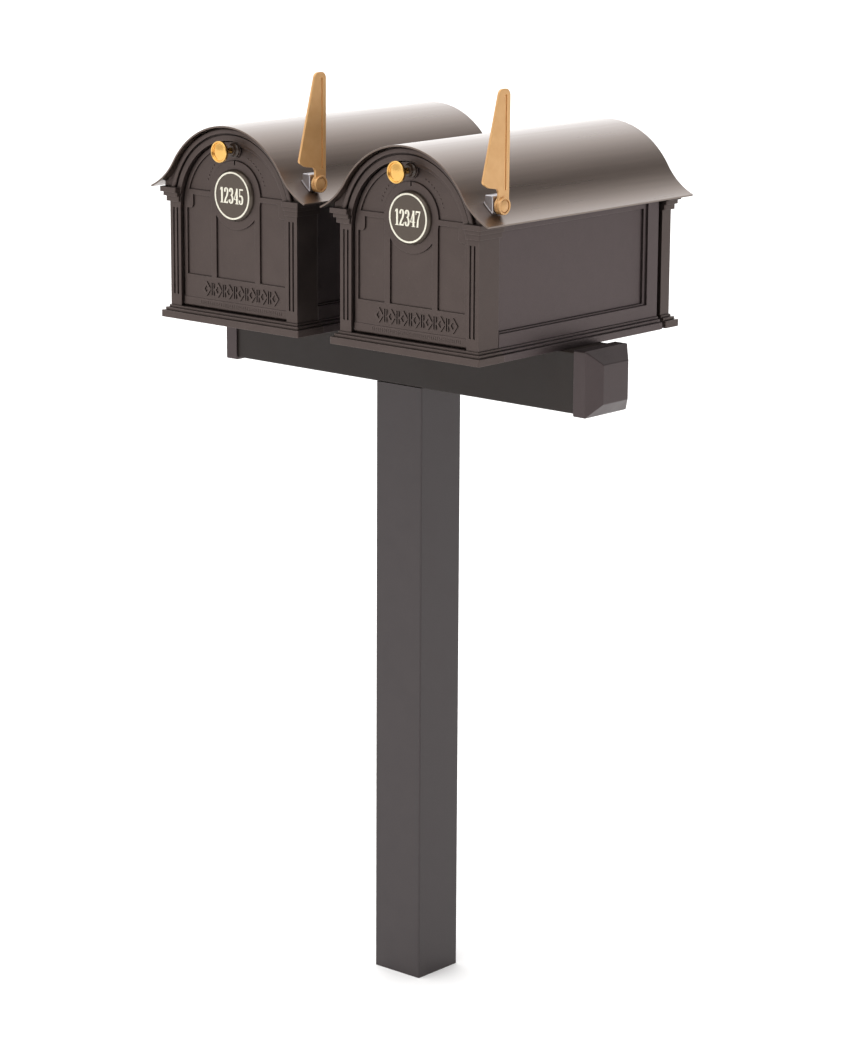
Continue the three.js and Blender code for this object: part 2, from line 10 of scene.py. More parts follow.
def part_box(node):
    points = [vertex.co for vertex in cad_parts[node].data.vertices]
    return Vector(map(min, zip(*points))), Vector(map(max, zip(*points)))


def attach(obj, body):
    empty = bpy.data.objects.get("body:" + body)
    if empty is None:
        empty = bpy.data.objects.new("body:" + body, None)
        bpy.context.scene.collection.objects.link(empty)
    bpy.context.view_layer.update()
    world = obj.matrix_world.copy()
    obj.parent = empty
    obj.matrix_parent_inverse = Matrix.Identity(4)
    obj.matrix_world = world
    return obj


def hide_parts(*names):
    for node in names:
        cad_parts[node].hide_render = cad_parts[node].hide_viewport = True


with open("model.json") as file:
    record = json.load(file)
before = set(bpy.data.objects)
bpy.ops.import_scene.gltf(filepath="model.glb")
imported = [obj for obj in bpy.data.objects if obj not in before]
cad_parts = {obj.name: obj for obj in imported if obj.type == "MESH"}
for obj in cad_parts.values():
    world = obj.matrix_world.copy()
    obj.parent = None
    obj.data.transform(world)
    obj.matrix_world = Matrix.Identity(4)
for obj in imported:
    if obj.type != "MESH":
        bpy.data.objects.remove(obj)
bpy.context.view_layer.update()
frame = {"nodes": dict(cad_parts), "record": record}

# Twin arched mailboxes on a square post. Lengths are millimetres in a mailbox's own place: x from its
# middle, y from the middle of the cross-arm (the doors look along -y), z from the cross-arm's top.

MM = 0.001
SIDES = ("left", "right")

# castings
BODY_HALF = 145.8
SHOULDER_HALF = 157.0
FRONT = 248.6
FRONT_RETURN = 198.0
PLATE = 12.6
REAR = 245.6
GROOVE = (212.0, 222.0)
WALL = 8.0
WALL_TOP = 236.0
SHOULDER_LOW = 214.0
BASE_LOW = 0.3
BASE_TIERS = ((12.0, 0.3, 12.0), (7.2, 11.8, 17.0), (2.7, 16.8, 21.0))
CAPITAL_TIERS = ((4.8, 197.0, 206.2), (8.5, 206.0, 213.2), (12.4, 213.0, 221.5))
FLUTES = (128.8, 137.2)
FLUTE = {"half": 1.9, "low": 40.0, "high": 187.0, "depth": 2.2}
OPENING_R = 121.5
OPENING_LOW = 21.0
FLOOR_TOP = 12.0
ARCH_RINGS = ((OPENING_R - 0.9, 131.6, 2.5, 1.6), (133.4, 142.3, 6.0, 2.6))  # inner, outer, proud, rounding
SIDE = {"inner": 132.0, "field": 139.0, "step": 142.4}  # how far out each level of a side panel is
REAR_OPENING = {"r": 112.0, "low": 34.0}
EDGE = 0.6  # radius of a cast edge
RETURN_EDGE = 1.5  # radius where the front casting's side turns into the side panel's field

# roof line
SPRING = 187.0
CROWN_R = 147.0
CROWN_TURN = 57.5
FLARE_R = 114.0
EAVE_SLOPE = 22.5
SHEET = 3.0
UNDER = 3.3
ROOF_ENDS = (-265.0, 263.8)
FLARE_X = (CROWN_R + FLARE_R) * math.sin(math.radians(CROWN_TURN))
FLARE_Z = SPRING + (CROWN_R + FLARE_R) * math.cos(math.radians(CROWN_TURN))

# door
DOOR_R = 119.5
DOOR_LOW = 25.7
DOOR_BACK = 235.0
DOOR_FIELD = 239.5
DOOR_FACE = 242.5
HINGE_Y = -239.8
BARREL_R = 3.9
HINGE_BORE = 2.3
RAIL_TOP = 38.0
PANEL = {"low": 76.5, "high": 211.0, "inner": 56.0, "outer": 112.0, "middle": 44.0}
EAR = {"x": 98.0, "z": 188.0, "r": 7.0}
TYMPANUM_R = 112.0
TYMPANUM_LOW = 220.0
BOSS_R = 57.5
PLAQUE = {"z": 218.0, "r": 43.4, "ring": 39.6, "back": 242.8, "face": 249.3, "rim": 250.2, "band": 2.9}
KNOB = {"z": 293.0, "r": 17.8, "back": 252.3, "front": 280.6, "bore": 2.3}

# flag and bracket, from the flag's pivot
FLAG = {"y": -211.0, "z": 248.5, "tall": 181.0, "hub": 14.0, "inner": 158.5, "outer": 163.0, "bore": 3.3}
BRACKET = {"face": 153.3, "back": 136.2, "top": 265.0, "half": 15.0, "lift": 0.4, "flange": 2.2}

ROUND_STEPS = 3
SHARP_ABOVE = math.radians(38)


# ---------------------------------------------------------------- outlines

def arc(cx, cy, radius, start, end, steps):
    return [(cx + radius * math.cos(math.radians(start + (end - start) * i / steps)),
             cy + radius * math.sin(math.radians(start + (end - start) * i / steps)))
            for i in range(steps + 1)]


def disc(cx, cy, radius, steps=64):
    return arc(cx, cy, radius, 0, 360, steps)[:-1]


def rectangle(x, y):
    return [(x[0], y[0]), (x[1], y[0]), (x[1], y[1]), (x[0], y[1])]


def both_ways(half):
    return (-half, half)


def flipped(loop):
    """The mirror image in x, still running the same way round."""
    return [(-x, y) for x, y in reversed(loop)]


def area(loop):
    return sum(a[0] * b[1] - b[0] * a[1] for a, b in zip(loop, loop[1:] + loop[:1])) / 2


def running(loop, anticlockwise):
    return list(loop) if (area(loop) > 0) == anticlockwise else list(reversed(loop))


def without_repeats(loop):
    return [here for here, before in zip(loop, loop[-1:] + loop[:-1]) if math.dist(here, before) > 1e-3]


def shifted(loop, distance):
    """Every side moved to its left, with mitred corners."""
    if distance == 0:
        return list(loop)
    moved = []
    for before, here, after in zip(loop[-1:] + loop[:-1], loop, loop[1:] + loop[:1]):
        came = Vector((here[0] - before[0], here[1] - before[1])).normalized()
        goes = Vector((after[0] - here[0], after[1] - here[1])).normalized()
        across = Vector((-came.y - goes.y, came.x + goes.x))
        stretch = distance / max(0.3, 1 + came.dot(goes))
        moved.append((here[0] + across.x * stretch, here[1] + across.y * stretch))
    return moved


def rounded_rectangle(x, y, radius, steps=6):
    return (arc(x[1] - radius, y[0] + radius, radius, 270, 360, steps)
            + arc(x[1] - radius, y[1] - radius, radius, 0, 90, steps)
            + arc(x[0] + radius, y[1] - radius, radius, 90, 180, steps)
            + arc(x[0] + radius, y[0] + radius, radius, 180, 270, steps))


def arch(radius, low, steps=72):
    return [(-radius, low), (radius, low)] + arc(0, SPRING, radius, 0, 180, steps)


def roof_line(inwards, half=None):
    """The roof line from the right eave to the left one, moved inwards, and cut off at a half width."""
    flare = FLARE_R + inwards
    eave = 90 - EAVE_SLOPE
    if half is not None:
        eave = math.degrees(math.acos((FLARE_X - half) / flare))
    left = arc(-FLARE_X, FLARE_Z, flare, 270 + CROWN_TURN, 360 - eave, 14)
    right = arc(FLARE_X, FLARE_Z, flare, 180 + eave, 270 - CROWN_TURN, 14)
    crown = arc(0, SPRING, CROWN_R - inwards, 90 - CROWN_TURN, 90 + CROWN_TURN, 72)
    return without_repeats(right + crown[1:-1] + left)


# ---------------------------------------------------------------- shells

def edge_rings(low, high, low_round, high_round):
    """How far each ring of a plate is moved in, and its height, from the bottom to the top."""
    turns = [math.radians(90 * i / ROUND_STEPS) for i in range(ROUND_STEPS + 1)]
    bottom = [(low_round * (1 - math.cos(t)), low + low_round * (1 - math.sin(t))) for t in reversed(turns)]
    top = [(high_round * (1 - math.cos(t)), high - high_round * (1 - math.sin(t))) for t in turns]
    return (bottom if low_round else [(0, low)]) + (top if high_round else [(0, high)])


def cap(points, loops):
    """Triangles over loops of point numbers."""
    numbers = [i for loop in loops for i in loop]
    flat = [[Vector((points[i][0], points[i][1], 0)) for i in loop] for loop in loops]
    return [tuple(numbers[i] for i in corners) for corners in tessellate_polygon(flat)]


def plate(outer, low, high, rounding=EDGE, low_rounding=0.0, holes=()):
    """A closed plate with rounded rims, drawn in u and v and extruded along w."""
    rings = edge_rings(low, high, low_rounding, rounding)
    points, faces, bottoms, tops = [], [], [], []
    loops = [running(without_repeats(outer), True)]
    loops += [running(without_repeats(hole), False) for hole in holes]
    for loop in loops:
        first, count = len(points), len(loop)
        for inset, height in rings:
            points += [(x, y, height) for x, y in shifted(loop, inset)]
        for level in range(len(rings) - 1):
            a = first + level * count
            b = a + count
            faces += [(a + i, a + (i + 1) % count, b + (i + 1) % count, b + i) for i in range(count)]
        bottoms.append(list(range(first, first + count)))
        tops.append(list(range(len(points) - count, len(points))))
    faces += cap(points, bottoms) + cap(points, tops)
    return points, faces


def lathe(profile, sides=72):
    """A closed turned shell about w. The profile lists (radius, w) and starts and ends on the axis, or else
    closes on itself round a bore."""
    bored = profile[0][0] > 0
    points, rows = [], []
    for radius, height in profile:
        if radius == 0:
            rows.append([len(points)] * sides)
            points.append((0.0, 0.0, height))
        else:
            rows.append(list(range(len(points), len(points) + sides)))
            points += [(x, y, height) for x, y in disc(0, 0, radius, sides)]
    pairs = list(zip(rows, rows[1:] + rows[:1])) if bored else list(zip(rows, rows[1:]))
    faces = []
    for low, high in pairs:
        for i in range(sides):
            j = (i + 1) % sides
            corners = [low[i], low[j], high[j], high[i]]
            faces.append(tuple(n for k, n in enumerate(corners) if n != corners[k - 1]))
    return points, faces


def loft(loops):
    """A closed shell through loops with the same number of points, each (loop, w), from bottom to top."""
    points, faces = [], []
    count = len(loops[0][0])
    for loop, height in loops:
        points += [(x, y, height) for x, y in loop]
    for level in range(len(loops) - 1):
        a = level * count
        b = a + count
        faces += [(a + i, a + (i + 1) % count, b + (i + 1) % count, b + i) for i in range(count)]
    bottom, top = list(range(count)), list(range(len(points) - count, len(points)))
    return points, faces + cap(points, [bottom]) + cap(points, [top])


def facing(shell, way, at=(0, 0, 0)):
    """A shell turned so that its w points a way: forwards (-y), back, right, left, up or down."""
    turn = {
        "front": lambda u, v, w: (u, -w, v), "rear": lambda u, v, w: (-u, w, v),
        "right": lambda u, v, w: (w, u, v), "left": lambda u, v, w: (-w, -u, v),
        "up": lambda u, v, w: (u, v, w), "down": lambda u, v, w: (u, -v, -w),
    }[way]
    points, faces = shell
    return [tuple(a + b for a, b in zip(turn(*p), at)) for p in points], faces


def turned(profile, way, at=(0, 0, 0), sides=72):
    return facing(lathe(profile, sides), way, at)


def mirrored(shell):
    points, faces = shell
    return [(-x, y, z) for x, y, z in points], [tuple(reversed(face)) for face in faces]


def loose_object(shell):
    points, faces = shell
    mesh = bpy.data.meshes.new("shell")
    mesh.from_pydata([tuple(c * MM for c in p) for p in points], [], faces)
    outwards = bmesh.new()
    outwards.from_mesh(mesh)
    bmesh.ops.recalc_face_normals(outwards, faces=outwards.faces)
    outwards.to_mesh(mesh)
    outwards.free()
    made = bpy.data.objects.new("shell", mesh)
    bpy.context.scene.collection.objects.link(made)
    return made


def solid(shells, cuts=()):
    """One smooth-shaded closed mesh of overlapping shells, less the shells that are cut away."""
    base, *others = [loose_object(shell) for shell in shells]
    tools = [(tool, "UNION") for tool in others] + [(loose_object(cut), "DIFFERENCE") for cut in cuts]
    for tool, operation in tools:
        modifier = base.modifiers.new("combine", "BOOLEAN")
        modifier.solver = "MANIFOLD"
        modifier.operation = operation
        modifier.object = tool
    bpy.context.view_layer.update()
    mesh = bpy.data.meshes.new_from_object(base.evaluated_get(bpy.context.evaluated_depsgraph_get()))
    for spent in [base] + [tool for tool, _ in tools]:
        data = spent.data
        bpy.data.objects.remove(spent)
        bpy.data.meshes.remove(data)
    mesh.materials.clear()
    mesh.shade_smooth()
    mesh.set_sharp_from_angle(angle=SHARP_ABOVE)
    return mesh


def show(name, mesh, look, body, place, replaced=()):
    """Puts a mesh in its place as a piece that rides on a body and stands for its CAD nodes."""
    piece = bpy.data.objects.new(name, mesh.copy())
    piece.data.materials.clear()
    piece.data.materials.append(look)
    bpy.context.scene.collection.objects.link(piece)
    piece.location = place
    flat_first = piece.modifiers.new("even_normals", "WEIGHTED_NORMAL")
    flat_first.keep_sharp = True
    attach(piece, body)
    if replaced:
        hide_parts(*replaced)
    return piece


# ---------------------------------------------------------------- castings

def shoulder_outline(inwards=UNDER):
    """A casting's face: pilasters below, shoulders and arch under the roof above."""
    return ([(-BODY_HALF, BASE_LOW), (BODY_HALF, BASE_LOW), (BODY_HALF, SHOULDER_LOW),
             (SHOULDER_HALF, SHOULDER_LOW)] + roof_line(inwards, SHOULDER_HALF)
            + [(-SHOULDER_HALF, SHOULDER_LOW), (-BODY_HALF, SHOULDER_LOW)])


def straight_outline(inwards=UNDER):
    return ([(-BODY_HALF, BASE_LOW), (BODY_HALF, BASE_LOW)] + roof_line(inwards, BODY_HALF))


def tier(x, y, low, high):
    """One step of a moulding, square in plan, with its upper and lower edges rounded."""
    return plate(rounded_rectangle(x, y, 2.2, 5), low, high, 0.7, 0.4)


def base_tiers(near, far, outwards):
    """The three steps of the base moulding, round a casting's face and sides."""
    return [tier(both_ways(BODY_HALF + out), sorted((near, far + outwards * out)), low, high)
            for out, low, high in BASE_TIERS]


def capital_tiers(near, far, outwards):
    right = [tier((OPENING_R, BODY_HALF + out), sorted((near, far + outwards * out)), low, high)
             for out, low, high in CAPITAL_TIERS]
    return right + [mirrored(step) for step in right]


def arch_ring(inner, outer, high, rounding):
    """A raised ring of the arch, springing from the capitals."""
    return facing(plate(arc(0, SPRING, outer, 11, 169, 90) + arc(0, SPRING, inner, 169, 11, 90),
                        FRONT - 4, high, rounding), "front")


def flute_outline(x):
    half = FLUTE["half"]
    return (arc(x, FLUTE["low"] + half, half, 180, 360, 8)
            + [(x + half, FLUTE["high"]), (x - half, FLUTE["high"])])


def side_wall(low_y, high_y):
    wall = plate(rectangle((low_y, high_y), (BASE_LOW, WALL_TOP)), BODY_HALF - WALL, BODY_HALF, RETURN_EDGE)
    right = facing(wall, "right")
    return [right, mirrored(right)]


def front_frame():
    opening = arch(OPENING_R, OPENING_LOW)
    flutes = [flute_outline(side * x) for x in FLUTES for side in (1, -1)]
    floor_of_flutes = FRONT - FLUTE["depth"]
    slab = facing(plate(shoulder_outline(), FRONT - PLATE, floor_of_flutes, 0, holes=[opening]), "front")
    face = facing(plate(shoulder_outline(), floor_of_flutes - 0.2, FRONT, EDGE, holes=[opening] + flutes),
                  "front")
    rim = facing(plate(roof_line(UNDER, BODY_HALF) + list(reversed(roof_line(UNDER + WALL, BODY_HALF - 1))),
                       226, FRONT - PLATE + 0.5, 0), "front")
    rings = [arch_ring(inner, outer, FRONT + proud, rounding)
             for inner, outer, proud, rounding in ARCH_RINGS]
    shells = [slab, face, rim] + rings + side_wall(-FRONT + 1.5, -FRONT_RETURN)
    shells += base_tiers(-FRONT_RETURN + 4, -FRONT, -1) + capital_tiers(-FRONT_RETURN + 4, -FRONT, -1)
    inside = facing(plate(rectangle(both_ways(BODY_HALF - WALL), (-FRONT + PLATE, -FRONT_RETURN + 9)),
                          FLOOR_TOP, SHOULDER_LOW, 0), "up")
    way_in = facing(plate(opening, 200, 300, 0), "front")
    behind = facing(plate(rectangle(both_ways(200), (-FRONT_RETURN, -FRONT_RETURN + 20)), -5, 300, 0), "up")
    return solid(shells, [inside, way_in, behind])


def rear_frame():
    opening = arch(REAR_OPENING["r"], REAR_OPENING["low"])
    inner = GROOVE[1]
    block = facing(plate(straight_outline(), inner, REAR - PLATE + 1, EDGE, EDGE, holes=[opening]), "rear")
    face = facing(plate(shoulder_outline(), REAR - PLATE, REAR, EDGE, EDGE, holes=[opening]), "rear")
    lip = [(-131, FLOOR_TOP), (131, FLOOR_TOP)] + roof_line(15, 131)
    tongue = facing(plate(lip, GROOVE[0] + 0.3, inner + 1, 0, holes=[opening]), "rear")
    step = facing(plate(arch(119, 28), REAR - 1, REAR + 2.2, 1.4, holes=[arch(111.2, 33)]), "rear")
    shells = [block, face, tongue, step] + base_tiers(inner, REAR, 1) + capital_tiers(inner, REAR, 1)
    way_in = facing(plate(opening, 200, 300, 0), "rear")
    hollow = rectangle(both_ways(BODY_HALF - WALL), (inner - 30, REAR - PLATE))
    relief = facing(plate(hollow, -5, FLOOR_TOP, 0), "up")
    return solid(shells, [relief, way_in])


def rear_panel():
    back, front = GROOVE[0] - 5, GROOVE[0] - 1
    sheet = facing(plate(arch(126, 16), back, front, 0.4), "rear")
    field = facing(plate(arch(106, 40), GROOVE[0] - 3, REAR - PLATE, 1.6), "rear")
    panel = facing(plate(arch(82, 64), REAR - PLATE - 1, REAR - PLATE + 1.6, 1.0), "rear")
    return solid([sheet, field, panel])


def side_panel():
    """The right-hand side: a field in two steps, framed above, below and at its rear end."""
    ends = (-FRONT_RETURN + 0.3, GROOVE[0])
    inner, field_face, step_face = SIDE["inner"], SIDE["field"], SIDE["step"]

    def border(rear, low, high):
        return [(ends[0], BASE_LOW), (ends[1], BASE_LOW), (ends[1], WALL_TOP), (ends[0], WALL_TOP),
                (ends[0], high), (rear, high), (rear, low), (ends[0], low)]

    field = plate(rectangle(ends, (BASE_LOW, WALL_TOP)), inner + 3, field_face, 0)
    step = plate(border(176, 46, 204), field_face - 0.5, step_face, EDGE)
    edge = plate(border(184, 43, 212), step_face - 0.4, BODY_HALF, EDGE)
    lip = plate(rectangle(ends, (WALL_TOP - 6, WALL_TOP + 11)), inner, 136.0, 0)
    shells = [facing(shell, "right") for shell in (field, step, edge, lip)]
    for out, low, high in BASE_TIERS:
        shells.append(plate(rectangle((inner + 3.5, BODY_HALF + out), (-FRONT_RETURN, ends[1])), low, high,
                            0.9, 0.5))
    return solid(shells)


def roof():
    line = roof_line(0) + list(reversed(roof_line(SHEET)))
    return solid([facing(plate(line, *ROOF_ENDS, 0.9, 0.9), "front")])


# ---------------------------------------------------------------- door

def outer_panel():
    return ([(PANEL["inner"], PANEL["low"]), (PANEL["outer"], PANEL["low"]), (PANEL["outer"], EAR["z"])]
            + arc(EAR["x"] + EAR["r"], EAR["z"] + EAR["r"], EAR["r"], 270, 180, 10)
            + [(EAR["x"], PANEL["high"]), (PANEL["inner"], PANEL["high"])])


def tympanum():
    foot = math.degrees(math.asin((TYMPANUM_LOW - SPRING) / TYMPANUM_R))
    return arc(0, SPRING, TYMPANUM_R, foot, 180 - foot, 72)


def lozenge(x, z, half_x, half_z):
    return [(x - half_x, z), (x, z - half_z), (x + half_x, z), (x, z + half_z)]


BAND = {"middle": 12.0, "level": 55.5, "pitch": 26.0, "count": 7, "proud": 1.8}
REED = {"apart": 2.3, "half": 1.1, "half_high": 10.5}
RAIL_BEADS = {"pitch": 4.3, "count": 44, "half": 1.3, "z": (28.6, 34.6), "proud": (242.5, 244.3)}
BOSS_BEADS = {"turns": [90 + side * turn for turn in range(24, 74, 6) for side in (-1, 1)],
              "ring": 68.0, "r": 1.5}


def row(middle, pitch, count):
    return [middle + (i - (count - 1) / 2) * pitch for i in range(count)]


def reed(x, level, proud):
    outline = rounded_rectangle((x - REED["half"], x + REED["half"]),
                                (level - REED["half_high"], level + REED["half_high"]), 0.9, 4)
    return plate(outline, DOOR_FACE - 1, proud, 0.5)


def band_of_lozenges():
    """Raised lozenges with a pair of upright reeds in each gap."""
    level, pitch, proud = BAND["level"], BAND["pitch"], DOOR_FACE + BAND["proud"]
    places = row(BAND["middle"], pitch, BAND["count"])
    shells = []
    for x in places:
        shells.append(plate(lozenge(x, level, 9.5, 12.5), DOOR_FACE - 1, proud, 0.5,
                            holes=[lozenge(x, level, 4.6, 6.1)]))
        if x != places[-1]:
            gap = x + pitch / 2
            shells += [reed(gap + side, level, proud) for side in both_ways(REED["apart"])]
    return shells


def beads():
    """A row of upright beads on the door's lower rail, and round beads about the boss."""
    half, z, proud = RAIL_BEADS["half"], RAIL_BEADS["z"], RAIL_BEADS["proud"]
    shells = [plate(rounded_rectangle((x - half, x + half), z, 1.2, 3), *proud, 0.5)
              for x in row(BAND["middle"], RAIL_BEADS["pitch"], RAIL_BEADS["count"])]
    for turn in BOSS_BEADS["turns"]:
        x, z = arc(0, PLAQUE["z"], BOSS_BEADS["ring"], turn, turn, 1)[0]
        shells.append(plate(disc(x, z, BOSS_BEADS["r"], 16), DOOR_FIELD - 0.5, DOOR_FIELD + 0.9, 0.5))
    return shells


def door():
    sunk = [outer_panel(), flipped(outer_panel()), tympanum(),
            rectangle(both_ways(PANEL["middle"]), (PANEL["low"], PLAQUE["z"] - 20))]
    slab = plate(arch(DOOR_R, DOOR_LOW), DOOR_BACK, DOOR_FIELD, 0)
    face = plate(arch(DOOR_R, DOOR_LOW), DOOR_FIELD - 0.2, DOOR_FACE, 0.9, holes=sunk)
    boss = plate(disc(0, PLAQUE["z"], BOSS_R, 120), DOOR_FIELD - 0.5, DOOR_FACE, 1.1)
    seat = plate(disc(0, KNOB["z"], 13.5), DOOR_FIELD - 0.5, DOOR_FACE, EDGE)
    rail = plate(rectangle(both_ways(DOOR_R), (DOOR_LOW, RAIL_TOP)), DOOR_BACK, DOOR_FACE + 1.2, EDGE)
    shells = [facing(shell, "front") for shell in (slab, face, boss, seat, rail)]
    barrel = plate(disc(HINGE_Y, DOOR_LOW, BARREL_R, 48), -DOOR_R, DOOR_R, 0.5, 0.5)
    shells.append(facing(barrel, "right"))
    key_slot = plate(rounded_rectangle((-1.4, 1.4), (267.5, 276.5), 1.3, 5), 238, 250, 0)
    bore = plate(disc(HINGE_Y, DOOR_LOW, HINGE_BORE, 24), -DOOR_R - 5, DOOR_R + 5, 0)
    shells += [facing(shell, "front") for shell in band_of_lozenges() + beads()]
    return solid(shells, [facing(key_slot, "front"), facing(bore, "right")])


def plaque():
    r, back, face = PLAQUE["r"], PLAQUE["back"], PLAQUE["face"]
    profile = [(0, back), (r, back), (r, back + 1.5), (r - 1.2, back + 3.8)]
    profile += arc(PLAQUE["ring"] - 0.2, face - 0.9, 0.8, 20, 90, 5) + [(0, face - 0.1)]
    return solid([turned(profile, "front", (0, 0, PLAQUE["z"]), 128)])


def plaque_ring():
    face, rim, outer = PLAQUE["face"], PLAQUE["rim"], PLAQUE["ring"]
    inner = outer - PLAQUE["band"]
    profile = [(inner, face - 0.4), (outer, face - 0.4)]
    profile += arc(outer - 0.7, rim - 0.7, 0.7, 0, 90, 5) + arc(inner + 0.7, rim - 0.7, 0.7, 90, 180, 5)
    return solid([turned(profile, "front", (0, 0, PLAQUE["z"]), 128)])


# ---------------------------------------------------------------- numerals

DIGIT = {"drawn": 27.0, "high": 25.8, "thin": 1.1, "thick": 3.0, "widen": 1.13}
NARROW_ADVANCE = 8.4
ADVANCE = 11.3


def bow(cx, cy, rx, ry, start, end, steps=18):
    return [(cx + rx * math.cos(math.radians(start + (end - start) * i / steps)),
             cy + ry * math.sin(math.radians(start + (end - start) * i / steps))) for i in range(steps + 1)]


def brushed(path):
    """The outline of a pen stroke that is thick where it runs upright and thin where it runs level."""
    left, right = [], []
    for i, here in enumerate(path):
        before, after = path[max(i - 1, 0)], path[min(i + 1, len(path) - 1)]
        along = Vector((after[0] - before[0], after[1] - before[1])).normalized()
        half = (DIGIT["thin"] + (DIGIT["thick"] - DIGIT["thin"]) * abs(along.y)) / 2
        left.append((here[0] - along.y * half, here[1] + along.x * half))
        right.append((here[0] + along.y * half, here[1] - along.x * half))
    return right + list(reversed(left))


def digit(number):
    """Outlines of a condensed numeral with serifs, 27 mm tall, about x = 0."""
    foot = rectangle((-3.2, 3.2), (0, 1.3))
    ball = disc(-2.7, 20.6, 1.5, 20)
    return {
        1: [rectangle((-1.5, 1.7), (0, 27)),
            [(-3.6, 21.8), (-1.2, 23.2), (-1.2, 27), (-1.9, 27), (-3.6, 23.4)], foot],
        2: [brushed(bow(0, 20.3, 2.9, 6.1, 175, -20, 22) + [(1.6, 13.2), (-0.8, 8.6), (-2.9, 2.2)]), ball,
            rectangle((-4.2, 3.4), (0, 2.7)), [(2.2, 1), (3.4, 0.4), (4.3, 6.2), (3.7, 6.2)]],
        3: [brushed(bow(-0.1, 20.6, 2.8, 5.8, 165, -82, 24)),
            brushed(bow(-0.2, 7.6, 3.2, 7.1, 84, -165, 26)),
            disc(-2.6, 21.4, 1.5, 20), disc(-2.9, 5.6, 1.6, 20), rectangle((-1.4, 0.9), (14.1, 15.3))],
        4: [rectangle((0.2, 3.3), (0, 27)), rectangle((-4.4, 4.9), (7.1, 8.5)),
            [(-4.4, 7.4), (-3.1, 7.4), (1.6, 24.6), (1.2, 27)], rectangle((-1.4, 4.9), (0, 1.3))],
        5: [rectangle((-3.1, 3.6), (24.3, 27)), rectangle((-3.3, -1.9), (13, 27)),
            brushed(bow(-0.3, 7.9, 3.3, 7.4, 128, -165, 28)), disc(-2.9, 5.6, 1.6, 20)],
        7: [rectangle((-3.6, 4.2), (24.2, 27)), rectangle((-4.1, -3), (20.4, 27)),
            [(2.6, 24.8), (4.2, 24.8), (1.2, 12), (0.7, 0), (-2.5, 0), (-1.3, 11)]],
    }[number]


def numerals(numbers):
    advances = [NARROW_ADVANCE if number == 1 else ADVANCE for number in numbers]
    low = PLAQUE["z"] - DIGIT["high"] / 2
    taller = DIGIT["high"] / DIGIT["drawn"]
    shells = []
    for i, number in enumerate(numbers):
        x = sum(advances[:i]) + advances[i] / 2 - sum(advances) / 2
        for outline in digit(number):
            loop = [(u * DIGIT["widen"] + x, v * taller + low) for u, v in outline]
            shells.append(facing(plate(loop, PLAQUE["face"] - 0.4, PLAQUE["rim"], 0.3), "front"))
    return solid(shells)


# ---------------------------------------------------------------- knob

def knob_rose():
    bore = KNOB["bore"]
    profile = [(bore, 242.8), (12, 242.8)] + arc(10.6, 244.4, 1.4, 0, 80, 6)
    profile += [(9.4, 247.2), (8.6, 249.5)] + arc(7.6, 251.0, 0.9, 0, 90, 5) + [(bore, 252)]
    return solid([turned(profile, "front", (0, 0, KNOB["z"]), 56)])


def knob():
    """A waisted stem that opens into a dished disc with a raised rim."""
    r, back, front, bore = KNOB["r"], KNOB["back"], KNOB["front"], KNOB["bore"]
    profile = [(0, back + 14), (bore, back + 14), (bore, back), (4.6, back)]
    profile += [(5.3, back + 1.0), (5.0, back + 2.4), (4.0, back + 4.6)]
    profile += [(3.9, front - 15), (4.6, front - 11.6), (6.4, front - 9.4), (9.5, front - 7.8)]
    profile += [(13, front - 6.8), (r - 2, front - 6.2)]
    profile += arc(r - 1.3, front - 4.8, 1.3, -60, 0, 4) + arc(r - 1.5, front - 1.5, 1.5, 0, 150, 9)
    profile += [(r - 3.1, front - 2.2), (r - 3.7, front - 3.0), (r - 5, front - 3.1), (9, front - 2.4)]
    profile += [(4, front - 1.8), (0, front - 1.6)]
    return solid([turned(profile, "front", (0, 0, KNOB["z"]), 72)])


# ---------------------------------------------------------------- flag

def flag_outline():
    tall = FLAG["tall"]
    return (arc(0, 0, FLAG["hub"], 210, 360, 28) + arc(4, tall - 11, 11, 0, 90, 14)
            + arc(-3, tall - 10, 10, 90, 165, 12) + arc(-44, 41, 5, 165, 240, 10) + [(-35, 30.5)]
            + arc(-19, 20, 8, 75, 0, 10) + [(-11, 9)])


def flag():
    """A blade with a narrow channel that runs up beside its rear edge and turns forwards at its head."""
    inner, outer, tall = FLAG["inner"], FLAG["outer"], FLAG["tall"]
    blade = plate(flag_outline(), inner, outer, 1.1, 1.1)
    channel = [(6.2, 24), (6.2, tall - 9), (0, tall - 9)]
    channel += [(0, tall - 11.8), (2.9, tall - 11.8), (2.9, 24)]
    groove = plate(channel, outer - 1.8, outer + 5, 0)
    hub_back = plate(disc(0, 0, FLAG["hub"] - 0.4), BRACKET["face"] + 2.1, inner + 1, 0.2)
    rim = arc(FLAG["hub"] - 1.1, outer + 2.3, 1.1, 0, 90, 6)
    rim += arc(FLAG["hub"] - 2.6, outer + 2.7, 0.7, 90, 150, 3)
    hub = lathe([(0, outer - 2), (FLAG["hub"] - 0.2, outer - 2)] + rim
                + [(10.6, outer + 0.4), (0, outer + 0.4)])
    bore = plate(disc(0, 0, FLAG["bore"], 32), inner - 20, outer + 20, 0)
    at = (0, FLAG["y"], FLAG["z"])
    shells = [facing(shell, "right", at) for shell in (blade, hub_back, hub)]
    return solid(shells, [facing(bore, "right", at), facing(groove, "right", at)])


def flag_bolt():
    seat = FLAG["outer"] + 0.6
    profile = [(0, BRACKET["face"] - 12), (3, BRACKET["face"] - 12), (3, seat), (9.4, seat)]
    profile += arc(8.6, seat + 1.1, 0.8, 0, 70, 5) + [(7, seat + 2.2), (4, seat + 2.8), (0, seat + 3)]
    return solid([turned(profile, "right", (0, FLAG["y"], FLAG["z"]), 48)])


